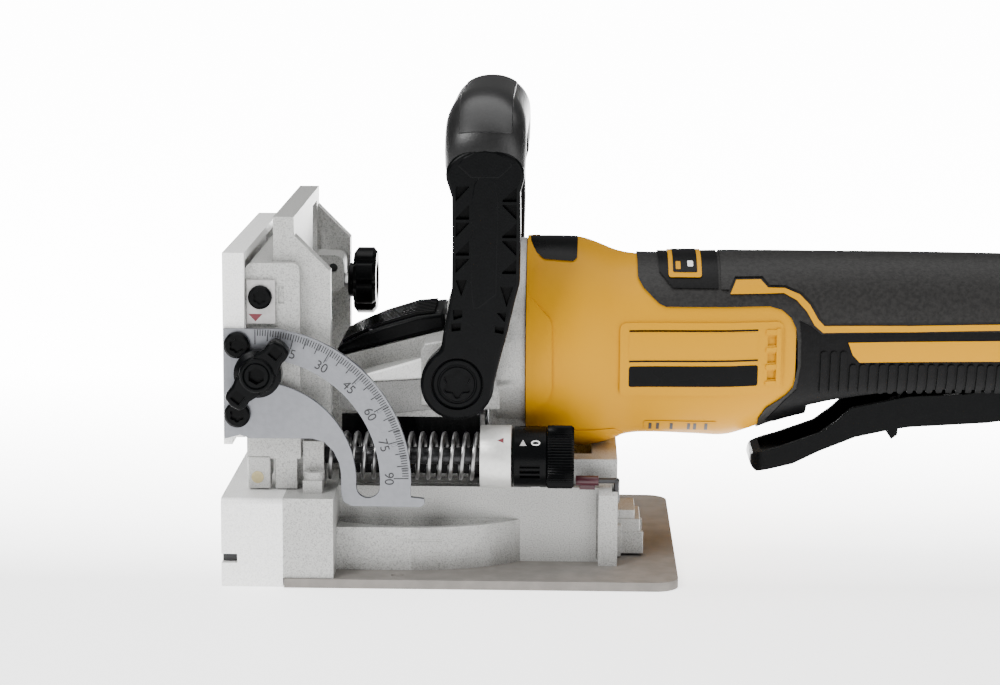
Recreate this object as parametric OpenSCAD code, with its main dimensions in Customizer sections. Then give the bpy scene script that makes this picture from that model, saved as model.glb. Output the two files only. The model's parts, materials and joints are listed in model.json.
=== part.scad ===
// Biscuit joiner, cordless, with tilting fence. Millimetres.
// +X rearwards, Y across (blade plane centred on Y 0), Z up from the sole.

/* [Base] */
// Half width of the front block
block_hw = 68; // [60:1:75]
// Depth of the front block
block_l = 21.3; // [20:0.1:22]
// Height of the front block
block_h = 31.2; // [30:0.1:31.2]
// Thickness of the sole plate
sole_t = 3.2; // [2:0.1:3.2]
// Rear end of the sole plate
sole_end = 158; // [145:1:165]
// Half width of the slide channel
chan_hw = 36; // [36:0.1:36]

/* [Cutter] */
// Blade radius over the tips
blade_r = 51; // [49:0.5:51]
// Height of the blade centre
kerf_z = 10; // [9.8:0.1:10.2]
// Number of blade tips
tips = 6; // [4:1:8]
// Plunge travel
travel = 28; // [20:1:28]
// Spindle axis behind the front face
spin_x = 62; // [62:0.1:62]

/* [Fence] */
// Half width of the fence
fence_hw = 57.5; // [57:0.1:57.5]
// Top of the fence
fence_top = 115; // [105:1:120]
// Tilt axis behind the front face
tilt_x = 11.3; // [11:0.1:11.5]
// Tilt axis above the sole
tilt_z = 35.8; // [35.8:0.1:36.2]
// Radius of the tilt slot
slot_r = 38.9; // [38.5:0.1:39.2]
// Outer radius of the quadrant
quad_r = 53.8; // [50:0.1:55]
// Height knob radius
hk_r = 12.6; // [10:0.1:12.6]

/* [Motor] */
// Motor axis height
mot_z = 76.5; // [76:0.1:77]
// Motor housing front radius
mot_r = 37.8; // [36:0.1:38]
// Motor housing rear radius
neck_r = 30.8; // [30:0.1:32]
// Half width of the grip
grip_hw = 21; // [20:0.5:24]
// Loop handle bar radius
bar_r = 14; // [12:0.5:14]
// Loop handle bar centre height
bar_z = 158; // [150:1:165]

/* [Hidden] */
cav_r = blade_r + 1.5;
front_x = spin_x - travel;
hkz = 93; hky = 32;
rod_y = -46; rod_z = 42.3;
px = 80.9; pz = 69.8;
$fn = 48;

module xc(x0, x1, r, y, z, f = 64) { translate([x0, y, z]) rotate([0, 90, 0]) cylinder(h = x1 - x0, r = r, $fn = f); }
module yc(y0, y1, r, x, z, f = 64) { translate([x, y0, z]) rotate([-90, 0, 0]) cylinder(h = y1 - y0, r = r, $fn = f); }
module zc(z0, z1, r, x, y, f = 64) { translate([x, y, z0]) cylinder(h = z1 - z0, r = r, $fn = f); }
module bx(x0, x1, y0, y1, z0, z1) { translate([x0, y0, z0]) cube([x1 - x0, y1 - y0, z1 - z0]); }
module sb(x0, x1, w, z0, z1) { bx(x0, x1, -w, w, z0, z1); }
module both() { children(); mirror([0, 1, 0]) children(); }
module yp(y0, y1, pts) { translate([0, y1, 0]) rotate([90, 0, 0]) linear_extrude(height = y1 - y0) polygon(pts); }
module xp(x0, x1) { translate([x0, 0, 0]) rotate([90, 0, 90]) linear_extrude(height = x1 - x0) children(); }
module xrev() { translate([0, 0, mot_z]) rotate([0, 90, 0]) rotate_extrude($fn = 96) children(); }
// Rounded rectangle in Y and Z
module rr(w, z0, z1, r) {
  union() {
    translate([-w + r, z0]) square([2 * (w - r), z1 - z0]);
    translate([-w, z0 + r]) square([2 * w, z1 - z0 - 2 * r]);
    for (y = [-w + r, w - r], z = [z0 + r, z1 - r]) translate([y, z]) circle(r = r, $fn = 48);
  }
}
function arc(cx, cz, r, a0, a1, n) = [for (i = [0:n]) [cx + r * cos(a0 + (a1 - a0) * i / n), cz + r * sin(a0 + (a1 - a0) * i / n)]];

// ---------------- base ----------------
module front_block() color([0.80, 0.80, 0.79]) difference() {
  union() {
    bx(0, block_l, -block_hw, block_hw, 0, block_h - 2);
    bx(0, block_l, -block_hw + 2, block_hw - 2, block_h - 2, block_h);
    both() xc(0, block_l, 2, block_hw - 2, block_h - 2);
  }
  zc(kerf_z - 2.5, kerf_z + 2.5, cav_r, front_x, 0, 128);
  zc(kerf_z - 3.6, kerf_z + 3.6, 18.5, front_x, 0);
  both() bx(-1, 5.5, block_hw - 4, block_hw + 1, kerf_z - 1.6, kerf_z + 1.6);
  both() xc(-1, 14, 2.5, 56, 21);
  bx(-1, 7, -0.5, 0.5, block_h - 0.6, block_h + 1);
}
module base_housing() color([0.74, 0.74, 0.73]) difference() {
  union() {
    bx(block_l, 38.7, -block_hw, block_hw, sole_t, 31.3);
    intersection() { zc(sole_t, 18.4, 55, spin_x + 3, 0, 128); bx(30, 140, -60, 60, 0, 40); }
    bx(38.7, spin_x + 3, -55, 55, sole_t, 18.4);
    sb(38.7, 137, 40, sole_t, 30);
    both() xp(130.3, 137) polygon([[39, sole_t], [46, sole_t], [46, 28.6], [41, 32], [39, 32]]);
  }
  zc(kerf_z - 3.5, kerf_z + 3.5, cav_r, spin_x, 0, 128);
  zc(kerf_z - 3.5, kerf_z + 3.5, cav_r, front_x, 0, 128);
  bx(front_x, spin_x, -cav_r, cav_r, kerf_z - 3.5, kerf_z + 3.5);
  difference() {
    zc(16.2, 20, 52.6, spin_x + 3, 0, 128);
    sb(0, 140, 42.5, 15, 21);
  }
  sb(block_l - 1, 138, chan_hw, 19.5, 32);
  sb(block_l - 1, 138, chan_hw + 2, 21.9, 25.1);
  sb(block_l - 1, 76.5, 13, 13, 20);
  bx(104, 138, -28, -12, kerf_z - 3.5, kerf_z + 3.5);
  both() for (p = [[30, 60], [128, 34]]) zc(sole_t - 1, 13, 2, p[0], p[1]);
  bx(135, 138, -44.4, -41.6, 24.6, 33.6);
  both() bx(129.6, 130.3, 39.3, 41, 4.2, 28);
}
module sole_plate() color([0.55, 0.53, 0.50]) difference() {
  union() {
    sb(block_l + 0.4, sole_end - 8, 69, 0, sole_t);
    sb(sole_end - 9, sole_end, 61, 0, sole_t);
    both() zc(0, sole_t, 8, sole_end - 8, 61);
  }
  both() zc(-1, 5, 2.25, 60.5, 62);
  both() for (p = [[30, 60], [128, 34]]) {
    zc(-1, 5, 2, p[0], p[1]);
    translate([p[0], p[1], -0.01]) cylinder(h = 2.41, r1 = 4.41, r2 = 2);
  }
}
module sole_screws() color([0.6, 0.6, 0.6]) both() for (p = [[30, 60], [128, 34]]) difference() {
  union() {
    zc(0.3, 13, 2, p[0], p[1]);
    translate([p[0], p[1], 0.3]) cylinder(h = 2.1, r1 = 4.1, r2 = 2);
  }
  zc(-1, 1.5, 1.6, p[0], p[1], 6);
}
module column_bracket() color([0.76, 0.76, 0.75]) {
  difference() {
    union() {
      bx(16.8, 24, -49, 49, 90, 126.5);
      both() bx(16.8, 24, 37, 49, 31.3, 126.5);
      both() yp(42, 49, [[23.9, 31.3], [36.4, 31.3], [36.4, 107.7], [24.1, 120], [23.9, 120]]);
      yp(25.5, 42.1, concat([[23.4, 89.3]], arc(31.8, 92.7, 3.4, -90, 0, 6), arc(31.8, 99.7, 3.4, 0, 90, 6), [[23.4, 103.1]]));
      both() bx(27.6, 36.4, 48.9, 60, 31.3, 35.8);
      bx(27, 34.2, -52, -48.9, 35.7, 48.2);
    }
    bx(15, 22.9, 22, 39.5, 89, 122);
    bx(15, 25, 22, 39.5, 101.6, 122);
    xc(20, 40, 2.55, hky, hkz);
    bx(34.2, 37, -61, -40, 31, 53);
    xc(26, 38, 3, rod_y, rod_z);
    yc(24, 28.5, 1.7, 31.2, 98.3);
    both() zc(30, 37, 2.1, 31.2, 55.2);
  }
  both() difference() {
    union() { zc(35.8, 38.4, 3.6, 31.2, 55.2); zc(31.3, 35.9, 2.1, 31.2, 55.2); }
    zc(36.8, 39, 1.8, 31.2, 55.2, 6);
  }
}
module height_scale() color([0.85, 0.85, 0.86]) difference() {
  bx(27.6, 35.4, 49, 49.7, 55, 104);
  for (i = [0:15]) bx(i % 5 == 0 ? 29 : 32, 34.4, 49.45, 50, 57.5 + 3 * i - 0.25, 57.5 + 3 * i + 0.25);
}
module guide_rod() color([0.7, 0.7, 0.7]) difference() {
  xc(26, 119, 3, rod_y, rod_z);
  xc(116, 120, 1.2, rod_y, rod_z, 6);
}
module return_spring() color([0.62, 0.62, 0.62]) {
  for (i = [0:13]) translate([35.6 + i * 4, rod_y, rod_z]) rotate([0, 90, 0])
    rotate_extrude($fn = 48) translate([7.9, 0]) circle(r = 0.8, $fn = 16);
  for (i = [0:12]) xc(35.6 + i * 4, 35.6 + (i + 1) * 4, 0.6,
    rod_y + 7.9 * cos(120 * i), rod_z + 7.9 * sin(120 * i), 16);
}
module dust_port() color([0.72, 0.72, 0.71]) difference() {
  union() {
    bx(137, 146.5, -31, -9, 4, 12.2);
    bx(137, 145.4, -30.4, -9.6, 12, 16.6);
    bx(137, 143.4, -29.6, -10.4, 16.4, 19.8);
    bx(137, 138.6, -34, 31, 3.6, 15);
  }
  bx(136, 148, -28, -12, kerf_z - 3.5, kerf_z + 3.5);
}
module anti_slip_pins() color([0.2, 0.2, 0.2]) both() difference() {
  xc(0.4, 14, 2.5, 56, 21);
  xc(0, 1.5, 1.1, 56, 21);
}
module hex_key() color([0.3, 0.3, 0.32]) {
  xc(122.3, 136.6, 1.05, -43, 33.3, 6);
  translate([136.6, -43, 33.3]) sphere(r = 1.12, $fn = 32);
  translate([136.6, -43, 25.6]) cylinder(h = 7.6, r = 1.05, $fn = 6);
}
module key_clip() color([0.25, 0.08, 0.1]) difference() {
  union() { xc(122.2, 130.2, 1.75, -43, 33.3); bx(123.5, 129, -43, -38.4, 30, 32.6); }
  xc(120, 131, 1.05, -43, 33.3, 6);
}

// ---------------- fence ----------------
module fence_slide() color([0.72, 0.72, 0.71]) difference() {
  union() {
    both() yp(49.3, 53.7, concat([[7.6, 42.3], [26.3, 42.3]], arc(23.8, 108.5, 2.5, 0, 90, 6), arc(10.1, 108.5, 2.5, 90, 180, 6)));
    both() bx(7.9, 15.7, 49.3, 53.7, 35.8, 42.4);
    both() yc(49.3, 53.7, 3.9, tilt_x + 0.5, 35.8);
    both() bx(17.5, 25, 49.3, 53.7, 31.7, 42.4);
    bx(9, 16.3, -49.4, 49.4, 90, 111);
  }
  both() yc(48, 55, 2.15, tilt_x, tilt_z);
  yc(-55, -45, 3, 13.1, 74.7);
  yc(-55, -50, 1.8, 12.8, 99.4);
  bx(8, 12, -30, 30, 95, 106);
  bx(18.9, 21, -54.5, -52.9, 97, 103.2);
}
module height_rack() color([0.5, 0.5, 0.5]) {
  bx(16.3, 22.6, 23, 25.7, 58, 96.4);
  for (i = [-11:0]) yp0(hkz + 3.14159 * (i + 0.5));
}
module yp0(z) {
  xp(16.9, 22.6) polygon([[25.6, z - 1.0], [27, z - 0.6], [28, z - 0.3], [28, z + 0.3], [27, z + 0.6], [25.6, z + 1.0]]);
}
module pointer_plate() color([0.82, 0.82, 0.82]) difference() {
  bx(8, 18, -55.2, -53.7, 90, 105.4);
  yc(-56, -53, 1.8, 12.8, 99.4);
}
module pointer_screw() color([0.62, 0.62, 0.62]) difference() {
  union() { yc(-57.1, -55.2, 4, 12.8, 99.4); yc(-55.3, -50, 1.8, 12.8, 99.4); }
  bx(12.3, 13.3, -58, -56.4, 96.6, 102.2);
  bx(10, 15.6, -58, -56.4, 98.9, 99.9);
}
module hinge_pins() color([0.75, 0.6, 0.3]) both() yc(40.6, 54.6, 2.15, tilt_x, tilt_z);
module clamp_stud() color([0.6, 0.6, 0.6]) yc(-66, -49.4, 3, 13.1, 74.7);
module fence() color([0.78, 0.78, 0.79]) difference() {
  union() {
    bx(0, 3, -fence_hw, fence_hw, 48, fence_top);
    both() bx(0, 7.5, 54, fence_hw, 50.5, fence_top);
    bx(0, 7.5, -fence_hw, fence_hw, fence_top - 3, fence_top);
    both() bx(7, 15.6, 41, 48.9, tilt_z, 66);
    both() bx(2.9, 7.1, 41, 48.9, 49.5, 66);
    both() yc(41, 48.9, 4.3, tilt_x, tilt_z);
  }
  both() yc(40, 50, 2.2, tilt_x, tilt_z);
  both() xc(-1, 4, 2.6, 35, 80);
  for (z = [59.2, 83.4]) yc(-58, -54.4, 2, 5.2, z);
  bx(-1, 0.5, -0.4, 0.4, 47, 116);
  both() bx(11.3, 16, 40, 50, 60, 67);
}
module quadrant_plate() color([0.74, 0.75, 0.77]) difference() {
  yp(-59.5, -fence_hw, concat(
    [[0.4, 88.9], [0.4, 50.3], [5.9, 51.8], [9, 50.6], [30.9, 50.7], [35.2, 49.4], [38.4, 46], [40.2, 42], [40.8, 38.5],
     [40.8, 31.2], [41.7, 28.4], [44.6, 26.9], [68.6, 26.8], [69.9, 28], [69.6, 29.8], [65.1, 30.3], [64.9, 32.6]],
    arc(tilt_x, tilt_z, quad_r, 0, 72, 20), [[20, 88.9]]));
  yp(-60, -57, concat(arc(tilt_x, tilt_z, slot_r - 4.1, -2.7, 87.4, 24), arc(tilt_x, tilt_z, slot_r + 4.1, 87.4, -2.7, 24)));
  for (a = [-2.7, 87.4]) yc(-60, -57, 4.1, tilt_x + slot_r * cos(a), tilt_z + slot_r * sin(a));
  for (z = [59.2, 83.4]) yc(-60, -57, 2, 5.2, z);
  for (a = [5:5:70]) yp(-60, -59.3, [
    [tilt_x + (quad_r - (a % 15 == 0 ? 5 : 3)) * cos(a - 0.35), tilt_z + (quad_r - (a % 15 == 0 ? 5 : 3)) * sin(a - 0.35)],
    [tilt_x + (quad_r - 0.6) * cos(a - 0.35), tilt_z + (quad_r - 0.6) * sin(a - 0.35)],
    [tilt_x + (quad_r - 0.6) * cos(a + 0.35), tilt_z + (quad_r - 0.6) * sin(a + 0.35)],
    [tilt_x + (quad_r - (a % 15 == 0 ? 5 : 3)) * cos(a + 0.35), tilt_z + (quad_r - (a % 15 == 0 ? 5 : 3)) * sin(a + 0.35)]]);
}
module quadrant_screws() color([0.6, 0.6, 0.6]) for (z = [59.2, 83.4]) difference() {
  union() { yc(-62.2, -59.5, 4.4, 5.2, z); yc(-59.6, -54.5, 2, 5.2, z); }
  bx(4.6, 5.8, -63, -61, z - 3, z + 3);
  bx(2.2, 8.2, -63, -61, z - 0.6, z + 0.6);
}
module wing_knob() color([0.12, 0.12, 0.12]) difference() {
  union() {
    yc(-63, -60, 6.5, 13.1, 74.7);
    yc(-68, -63, 8, 13.1, 74.7);
    yc(-72.5, -68, 6, 13.1, 74.7);
    for (s = [0, 180]) translate([13.1, 0, 74.7]) rotate([0, s - 50, 0]) {
      bx(4, 12.5, -71, -64, -2.4, 2.4);
      yc(-71.6, -63.6, 3.4, 13.5, 0, 32);
    }
  }
  yc(-66.4, -59, 3.05, 13.1, 74.7);
  yc(-73, -69.2, 2.7, 13.1, 74.7, 6);
}
module height_pinion() color([0.55, 0.55, 0.55]) union() {
  xc(16.9, 22.4, 3.75, hky, hkz);
  xc(22.3, 41, 2.5, hky, hkz);
  for (i = [0:9]) translate([0, hky, hkz]) rotate([36 * i, 0, 0])
    xp(16.9, 22.4) polygon([[-3.5, -0.8], [-5, -0.55], [-6, -0.28], [-6, 0.28], [-5, 0.55], [-3.5, 0.8]]);
}
module height_knob() color([0.1, 0.1, 0.1]) difference() {
  union() {
    xc(36.6, 41, 6.4, hky, hkz);
    xc(38.8, 47.3, hk_r - 1.2, hky, hkz, 96);
    for (i = [0:7]) xc(38.8, 47.3, 3, hky + (hk_r - 3) * cos(45 * i), hkz + (hk_r - 3) * sin(45 * i), 32);
  }
  for (i = [0:7]) xc(38, 48, 1.9, hky + hk_r * cos(45 * i + 22.5), hkz + hk_r * sin(45 * i + 22.5), 32);
  xc(36, 41, 2.5, hky, hkz);
  xc(45.8, 48, 6, hky, hkz);
}

// ---------------- depth stop and loop handle ----------------
module depth_knob() color([0.1, 0.1, 0.1]) difference() {
  union() {
    xc(99.9, 112, 10.6, rod_y, rod_z, 96);
    xc(112, 121.5, 11.2, rod_y, rod_z, 96);
  }
  xc(99, 123, 3.4, rod_y, rod_z);
  for (i = [0:23]) xc(112.6, 122, 0.75, rod_y + 11.3 * cos(15 * i), rod_z + 11.3 * sin(15 * i), 16);
}
module loop_side(y0, y1) { yp(y0, y1, [[69.4, 68], [70.5, 76], [75.4, 81.6], [76.1, 88.3], [77.4, 94.6], [78.9, 103], [79.1, 119.3],
  [78.9, 134.5], [76.3, 143], [77, 158], [103.4, 158], [104, 143.5], [102.3, 136.4], [102.5, 123], [102.2, 104.9], [100.5, 98.3],
  [98.3, 88.5], [95.3, 77.2], [92.7, 66]]); }
module loop_handle() color([0.1, 0.1, 0.1]) {
 yc(-41, 41, 10.96, 90.2, bar_z, 96);
 difference() {
  union() {
    both() loop_side(47, 57);
    both() yc(47, 57, 12.7, px, pz);
    intersection() {
      yc(-57, 57, bar_r, 90.2, bar_z, 96);
      xp(70, 110) rr(57, 100, bar_z + bar_r + 0.7, 16);
    }
  }
  yc(-40, 40, bar_r + 1, 90.2, bar_z);
  both() yc(46, 58, 5.05, px, pz);
  both() yc(54.9, 58, 9, px, pz);
  both() bx(80.6, 85.6, 55.4, 58, 104, 132);
  both() bx(95.6, 100.6, 55.4, 58, 104, 132);
  both() bx(86.5, 94.5, 56.3, 58, 92, 134);
 }
}
module loop_grip() color([0.22, 0.22, 0.22]) difference() {
  yc(-40, 40, bar_r, 90.2, bar_z, 96);
  yc(-41, 41, 11, 90.2, bar_z, 96);
}
module pivot_screws() color([0.15, 0.15, 0.15]) both() difference() {
  union() { yc(55.1, 57, 8.7, px, pz); yc(45, 55.2, 5, px, pz); }
  yc(56, 58, 3.2, px, pz, 6);
}

// ---------------- head ----------------
module gear_case() color([0.72, 0.72, 0.71]) difference() {
  union() {
    yp(-19, 19, [[36, 62], [36, 72.2], [75.8, 82.5], [75.8, 92], [84, 97], [95, 101], [95, 57], [82, 57], [80, 54], [48, 54]]);
    yp(-35, 35, [[52.5, 54], [51.5, 64], [52.5, 70], [64.3, 72.5], [76.5, 73], [80, 84], [95, 90], [95, 57], [82, 57], [80, 54]]);
    xp(94, 104) intersection() { translate([0, mot_z]) circle(r = 37, $fn = 96); translate([-40, 52.5]) square([80, 70]); }
    yp(-34, 18.6, [[38.2, 57], [38.2, 66.5], [42.4, 66.9], [53.6, 70.4], [53.6, 54.4], [48, 54.4]]);
    both() yc(34, 46.8, 9, px, pz);
  }
  zc(61.2, 73.6, 16.3, spin_x, 0, 96);
  zc(61.2, 75.2, 10.5, spin_x, 0, 96);
  xc(66, 76, 4, 0, mot_z);
  xc(75.9, 105, 6, 0, mot_z);
  xc(96.9, 105, 12, 0, mot_z);
  zc(53, 62, 9, spin_x, 0);
  both() yc(44, 48, 5, px, pz);
  zc(93, 103, 5.8, 86, 0);
  zc(81, 94, 3.2, 86, 0);
  for (x = [50.5, 72.5], y = [-14, 14]) zc(x > 60 ? 75 : 70, 90, 1.7, x, y);
}
module gear_cover() color([0.1, 0.1, 0.1]) difference() {
  union() {
    yp(-18, 18, [[36, 72.4], [36, 75.5], [44, 79.4], [52.2, 83], [65, 86.8], [75.1, 88.2], [75.1, 82.55]]);
    for (i = [-4:4]) yp(i * 3 - 0.8, i * 3 + 0.8, [[37, 73], [37, 77], [44, 80.8], [52.2, 84.4], [65, 88.2], [74.6, 89.4], [74.6, 83]]);
  }
  for (x = [50.5, 72.5], y = [-14, 14]) { zc(70, 93, 1.7, x, y); zc(x > 60 ? 85 : 80, 95, 3.4, x, y); }
}
module cover_screws() color([0.6, 0.6, 0.6]) for (x = [50.5, 72.5], y = [-14, 14]) difference() {
  union() { zc(x > 60 ? 75 : 70.2, x > 60 ? 85.5 : 80.5, 1.7, x, y); zc(x > 60 ? 85 : 80, x > 60 ? 87 : 82, 3.2, x, y); }
  zc(x > 60 ? 86 : 81, 90, 1.4, x, y, 6);
}
module slide_shoe() color([0.66, 0.66, 0.66]) difference() {
  union() {
    sb(50, 137, chan_hw - 0.4, 19.9, 30.4);
    sb(50, 137, chan_hw + 1.6, 22.3, 24.7);
    zc(14.2, 20, 12, spin_x, 0);
    sb(50, 84, 28, 30, 54);
    sb(40, 50.4, 27.6, 32.2, 53.6);
    sb(83, 89.6, 27.6, 36, 53.6);
    sb(91, 93.9, 27.2, 38.6, 56.9);
    sb(93.5, 104, 26.8, 38.4, 52.3);
    sb(88, 137, 34, 30, 39);
  }
  zc(13, 22, 5.6, spin_x, 0);
  zc(21.9, 55, 9, spin_x, 0);
  sb(104, 128, 24, 26, 40);
}
module spring_collar() color([0.08, 0.08, 0.08]) difference() {
  union() { xc(88.7, 99.6, 11, rod_y, rod_z, 96); bx(90, 98, -44, -34, 31, 39); bx(90, 98, -40, -27.3, 39, 43); }
  xc(88, 100, 3.4, rod_y, rod_z);
}
module motor_housing() color([0.96, 0.72, 0.15]) difference() {
  xrev() polygon([[27.2, 104], [mot_r, 104], [mot_r, 118], [36.2, 126], [33, 136], [neck_r, 146], [neck_r, 172],
    [9.2, 172], [9.2, 158], [27.2, 158]]);
  xrev() polygon([[26, 103.9], [33, 103.9], [33, 111], [27, 111]]);
  for (s = [-1, 1], i = [0:3]) bx(148 + 3.6 * i, 149.8 + 3.6 * i, s * 29 - 4, s * 29 + 4, 66, 86);
  bx(164, 171, -neck_r - 2, -neck_r + 1.4, mot_z + 6, mot_z + 12.8);
}
module stator() color([0.45, 0.3, 0.2]) difference() {
  xc(113, 155, 27.2, 0, mot_z, 96);
  xc(112, 156, 15.6, 0, mot_z);
}
module motor_bearings() color([0.6, 0.6, 0.6]) {
  difference() { xc(97, 103.6, 12, 0, mot_z); xc(96, 104, 4.05, 0, mot_z); }
  difference() { xc(160, 167, 9.2, 0, mot_z); xc(159, 168, 4.05, 0, mot_z); }
}
module grip_solid(o) {
  intersection() {
    yp(-40, 40, [[172, 46 + o], [180, 43.2 + o], [189.5, 47.6 + o], [210.6, 52.6 + o], [241, 56.2 + o], [298, 57 + o], [306, 50 + o],
      [306, 108.3 - o], [172, 108.2 - o]]);
    union() {
      xp(172, 306) rr(grip_hw - o, 30, 108.3 - o, 17 - o);
      xp(172, 196) rr(27 - o, 30, 108 - o, 22 - o);
    }
  }
  xp(300 + o, 345 - o) rr(33 - o, 32 + o, 114 - o, 10 - o);
}
module grip_shell() difference() {
  grip_solid(0);
  intersection() { grip_solid(3); bx(175, 345, -40, 40, 0, 120); }
  sb(205, 296, 15.3, 40, 66);
  for (p = [[230, 98], [275, 98], [320, 98], [320, 50]]) {
    yc(-36, 30, 1.6, p[0], p[1], 24);
    yc(-40, p[0] > 300 ? -31.5 : -17.5, 2.6, p[0], p[1], 32);
  }
  yc(-19, 19, 2.5, 290, 61, 32);
}
module grip_left() color([0.15, 0.15, 0.15]) union() {
  intersection() { grip_shell(); bx(170, 350, -40, 0, 0, 130); }
  for (i = [0:14]) bx(200 + 6 * i, 202.4 + 6 * i, -grip_hw - 0.5, -grip_hw + 1, 72, 92);
}
module grip_right() color([0.13, 0.13, 0.13]) union() {
  intersection() { grip_shell(); bx(170, 350, 0, 40, 0, 130); }
  for (i = [0:14]) bx(200 + 6 * i, 202.4 + 6 * i, grip_hw - 1, grip_hw + 0.5, 72, 92);
}
module housing_screws() color([0.55, 0.55, 0.55]) for (p = [[230, 98], [275, 98], [320, 98], [320, 50]]) difference() {
  union() { yc(p[0] > 300 ? -31.6 : -17.6, 16, 1.6, p[0], p[1], 24); yc(p[0] > 300 ? -32.8 : -19.3, p[0] > 300 ? -31.5 : -17.5, 2.6, p[0], p[1], 32); }
  yc(-40, p[0] > 300 ? -32.2 : -18.6, 1.2, p[0], p[1], 6);
}
module badge_plate() color([0.8, 0.8, 0.8]) bx(164, 171, -neck_r - 0.4, -neck_r + 1.4, mot_z + 6, mot_z + 12.8);
module rating_panel() color([0.18, 0.18, 0.18]) difference() {
  sb(176, 195, 27.6, 64, 86);
  sb(175, 199, 27, 60, 90);
}
module switch_block() color([0.2, 0.2, 0.2]) union() {
  sb(244, 276, 18, 68, 88);
  sb(256, 262, 4, 62.5, 68.1);
}
module control_board() color([0.1, 0.35, 0.2]) union() {
  sb(310, 312, 30, 46, 100);
  for (i = [0:2]) bx(312, 322, -14 + 10 * i, -6 + 10 * i, 60, 74);
}
module terminal_rail() color([0.2, 0.2, 0.2]) union() {
  sb(345, 349, 18, 34, 100);
  sb(348.9, 352, 22, 34, 100);
  for (s = [-9, 9]) bx(351.9, 354.5, s - 1, s + 1, 60, 80);
}
module paddle_pin() color([0.6, 0.6, 0.6]) yc(-19, 19, 2.5, 290, 61, 32);
module spindle_bearings() color([0.62, 0.62, 0.62]) {
  difference() { zc(22, 29, 9, spin_x, 0); zc(21, 30, 5.05, spin_x, 0); }
  difference() { zc(54.5, 61, 9, spin_x, 0); zc(54, 62, 5.05, spin_x, 0); }
}
// ---------------- turning parts ----------------
module blade() color([0.75, 0.75, 0.77]) difference() {
  union() {
    zc(kerf_z - 1.2, kerf_z + 1.2, blade_r - 6, spin_x, 0, 128);
    for (i = [0:tips - 1]) translate([spin_x, 0, 0]) rotate([0, 0, 360 / tips * i + 12]) {
      bx(38, blade_r - 3.4, -5, 5, kerf_z - 1.1, kerf_z + 1.1);
      bx(blade_r - 8, blade_r - 0.3, 4.9, 7.6, kerf_z - 2, kerf_z + 2);
    }
  }
  zc(0, 20, 5, spin_x, 0);
  for (i = [0:5]) zc(0, 20, 2.2, spin_x + 28 * cos(60 * i), 28 * sin(60 * i), 32);
}
module blade_flanges() color([0.5, 0.5, 0.5]) difference() {
  union() { zc(7, kerf_z - 1.2, 17, spin_x, 0); zc(kerf_z + 1.2, 13.2, 17, spin_x, 0); }
  zc(0, 20, 5, spin_x, 0);
  for (s = [-1, 1]) zc(6, 8, 2, spin_x + 11 * s, 0, 32);
}
module spindle() color([0.6, 0.6, 0.62]) zc(7, 74.8, 5, spin_x, 0);
module bevel_wheel() color([0.55, 0.55, 0.55]) translate([spin_x, 0, 0]) rotate_extrude($fn = 96)
  polygon([[5, 64], [11, 64], [14.6, 68], [15, 72.27], [9, 73.9], [5, 73.9]]);
module rotor_shaft() color([0.6, 0.6, 0.62]) xrev() polygon([[0, 70.4], [2.1, 70.4], [3.9, 77], [4, 77.2], [4, 168], [0, 168]]);
module rotor_core() color([0.4, 0.3, 0.25]) difference() {
  xc(115, 153, 15, 0, mot_z);
  xc(114, 154, 4, 0, mot_z);
  for (i = [0:9]) xc(114, 154, 1.3, 14.6 * cos(36 * i), mot_z + 14.6 * sin(36 * i), 16);
}
module fan() color([0.85, 0.85, 0.85]) difference() {
  union() {
    xc(106.6, 108, 31, 0, mot_z, 96);
    xc(104.4, 111, 7, 0, mot_z);
    for (i = [0:11]) translate([0, 0, mot_z]) rotate([30 * i, 0, 0]) bx(104.6, 106.7, -0.8, 0.8, 6, 30);
  }
  xc(104, 112, 4, 0, mot_z);
}
module spindle_lock() color([0.1, 0.1, 0.1]) union() {
  zc(98, 102.5, 5.45, 86, 0);
  zc(84.5, 98.1, 2.8, 86, 0);
}
module switch_paddle() color([0.12, 0.12, 0.12]) difference() {
  yp(-14, 14, [[184.6, 37.2], [188.4, 30.2], [200.6, 33.9], [210, 38.6], [222.9, 43.9], [235.7, 46.8], [242.4, 47.8], [270, 49.6],
    [290, 52.5], [294, 61], [290, 65.5], [284, 64], [262, 60], [242, 59], [221.3, 54.5], [216.3, 49.8], [210, 45.1], [196, 40]]);
  yp(-11.5, 11.5, [[194, 41], [198, 36.6], [210, 41.4], [222.9, 46.6], [235.7, 49.5], [242.4, 50.6], [270, 52.4],
    [280, 54], [280, 66], [242, 66], [221.3, 58], [210, 48]]);
  yc(-15, 15, 2.55, 290, 61, 32);
  sb(230, 245, 3.4, 40, 54);
  yc(-14.5, 14.5, 1.5, 238.8, 53, 32);
}
module lock_lever() color([0.1, 0.1, 0.1]) {
  yp(-2.6, 2.6, [[236.4, 54], [234.8, 44.6], [237.2, 41], [239.4, 42.6], [240.6, 54]]);
  yc(-3.1, 3.1, 3.2, 238.8, 53, 32);
  yp(-2.6, 2.6, [[237, 53], [244, 62.5], [247, 61.5], [240.5, 52]]);
  yc(-13.9, 13.9, 1.45, 238.8, 53, 32);
}
module battery_case() color([0.12, 0.12, 0.12]) difference() {
  union() { xp(345.4, 395) rr(37.5, 14, 126, 9); for (s = [-1, 1], i = [0:3]) bx(356 + 8 * i, 360 + 8 * i, s * 37.5 - 0.6, s * 37.5 + 0.6, 40, 100); }
  xp(357, 391.5) rr(34.5, 17.5, 114, 4);
  sb(345, 349.3, 18.4, 13, 100.6);
  sb(348.5, 352.5, 22.4, 13, 100.6);
  sb(352, 355, 12, 13, 100.6);
  sb(371.6, 386.4, 12.4, 117, 127);
}
module battery_cells() color([0.3, 0.45, 0.6]) for (y = [-22, 0, 22], x = [366, 383]) zc(17.5, 85, 8.4, x, y, 48);
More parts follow.
